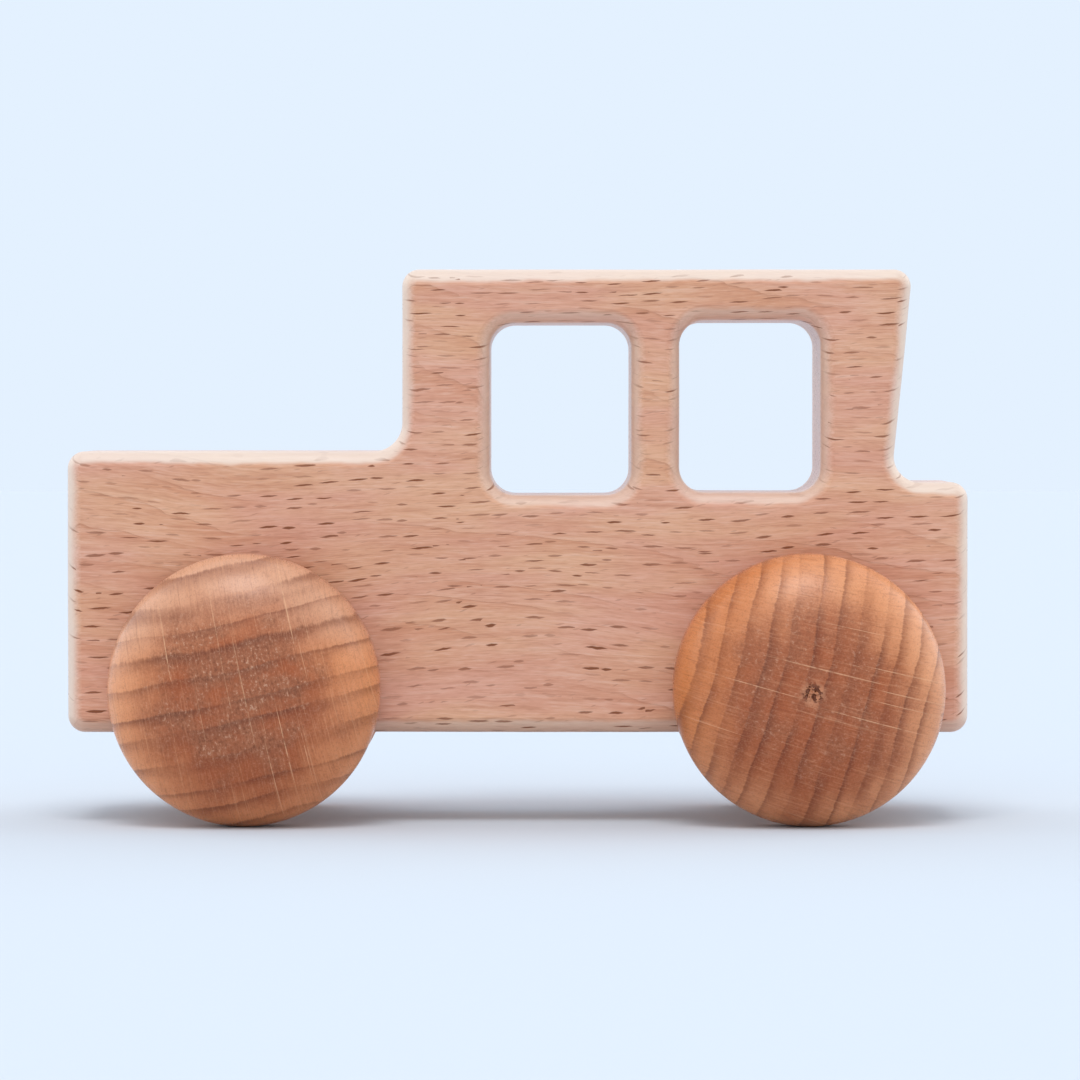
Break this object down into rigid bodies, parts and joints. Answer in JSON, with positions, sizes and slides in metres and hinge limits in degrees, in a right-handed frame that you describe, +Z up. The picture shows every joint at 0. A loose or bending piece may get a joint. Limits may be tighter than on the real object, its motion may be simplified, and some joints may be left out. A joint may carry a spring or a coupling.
{
  "type": "wooden push-along toy car",
  "caption": "Solid beech push-along toy car: a thick board body with a long hood and two cabin windows, on domed wheels that turn with their dowel axles.",
  "frame": {"origin": "on the ground under the middle of the car, at the centre of the bottom of its box", "axes": "+Z up, -X towards the nose, -Y towards the car's left side"},
  "size_m": [0.12, 0.0544, 0.0737],
  "materials": {
    "beech_board": "sanded satin oil, long grain along the car with short dark ray flecks",
    "beech_dowel": "bare sanded dowel, long grain along the axle",
    "beech_end_grain": "turned and oiled, end grain on the domed face with growth rings and ray lines"
  },
  "bodies": {
    "chassis": {"car_body": "beech_board"},
    "front_wheelset": {"front_axle": "beech_dowel", "front_left_wheel": "beech_end_grain", "front_right_wheel": "beech_end_grain"},
    "rear_wheelset": {"rear_axle": "beech_dowel", "rear_left_wheel": "beech_end_grain", "rear_right_wheel": "beech_end_grain"}
  },
  "joints": [
    {"name": "front_axle_spin", "type": "hinge", "parent": "chassis", "child": "front_wheelset", "pos_m": [-0.0361, 0, 0.018], "axis": [0, 1, 0], "continuous": true},
    {"name": "rear_axle_spin", "type": "hinge", "parent": "chassis", "child": "rear_wheelset", "pos_m": [0.0385, 0, 0.018], "axis": [0, 1, 0], "continuous": true}
  ]
}
